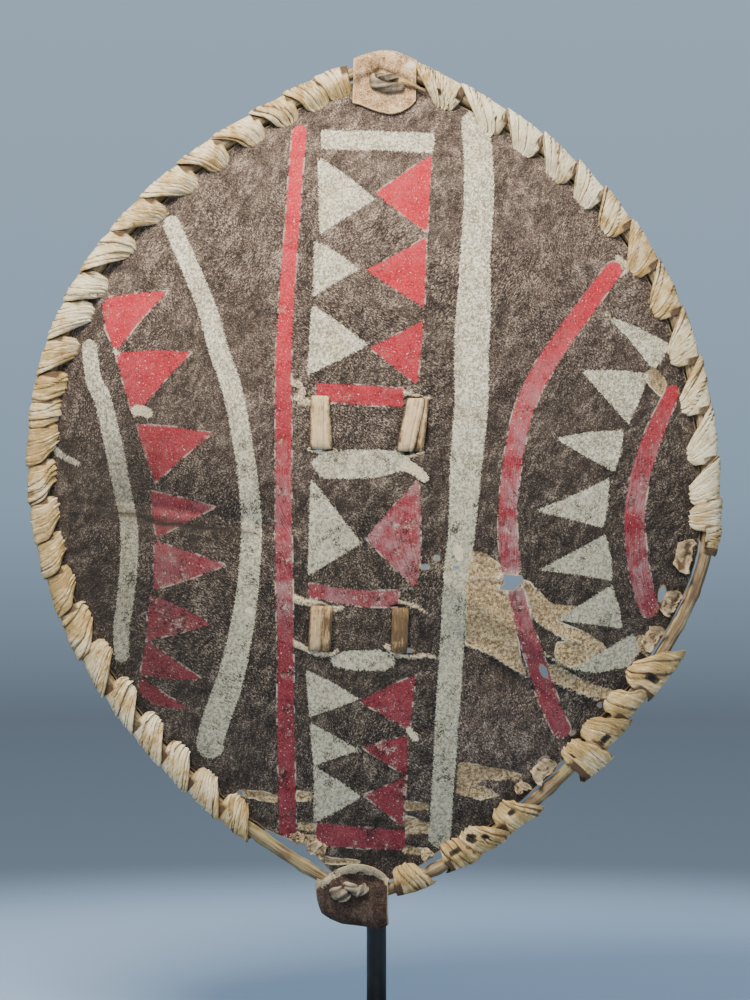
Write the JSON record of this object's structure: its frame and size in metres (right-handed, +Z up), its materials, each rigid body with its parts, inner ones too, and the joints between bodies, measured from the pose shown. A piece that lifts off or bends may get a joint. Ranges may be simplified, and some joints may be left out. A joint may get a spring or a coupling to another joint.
{
  "type": "hide shield on a display rod",
  "caption": "Pointed oval hide shield, painted with stripes and triangles, laced to a bent-stick hoop, with a stave grip behind, held upright on a black steel rod and foot.",
  "frame": {"origin": "middle of the underside of the stand's foot, on the surface the object stands on", "axes": "+Z up; the painted face looks along -Y; +X is to the right of someone facing the painted side"},
  "size_m": [0.6893, 0.24, 0.9979],
  "materials": {
    "hide": "short-haired dark brown hide with worn white and red paint",
    "hoop_wood": "bent stick with thin bark, dull",
    "rawhide": "dried cream rawhide, creased, yellowed edges",
    "tan_rawhide": "dried tan rawhide, creased",
    "suede": "pinkish tan suede with an orange-tan cut edge",
    "dark_suede": "dark brown suede",
    "stave_wood": "whittled stave, handled smooth",
    "black_steel": "satin black"
  },
  "bodies": {
    "root": {"hide_panel": "hide", "rim_hoop": "hoop_wood", "lashing_right": "rawhide", "lashing_left": "rawhide", "lashing_lower_right": "rawhide", "lashing_bottom_right": "rawhide", "lashing_bottom": "rawhide", "remnant_1": "tan_rawhide", "remnant_2": "tan_rawhide", "remnant_3": "tan_rawhide", "remnant_4": "tan_rawhide", "remnant_5": "tan_rawhide", "remnant_6": "tan_rawhide", "remnant_7": "tan_rawhide", "remnant_8": "tan_rawhide", "top_patch": "suede", "bottom_patch": "dark_suede", "top_tie": "rawhide", "bottom_tie": "rawhide", "handle_stave": "stave_wood", "grip_strap_upper": "tan_rawhide", "grip_strap_lower": "tan_rawhide", "stand_post": "black_steel", "stand_foot": "black_steel"}
  },
  "joints": []
}
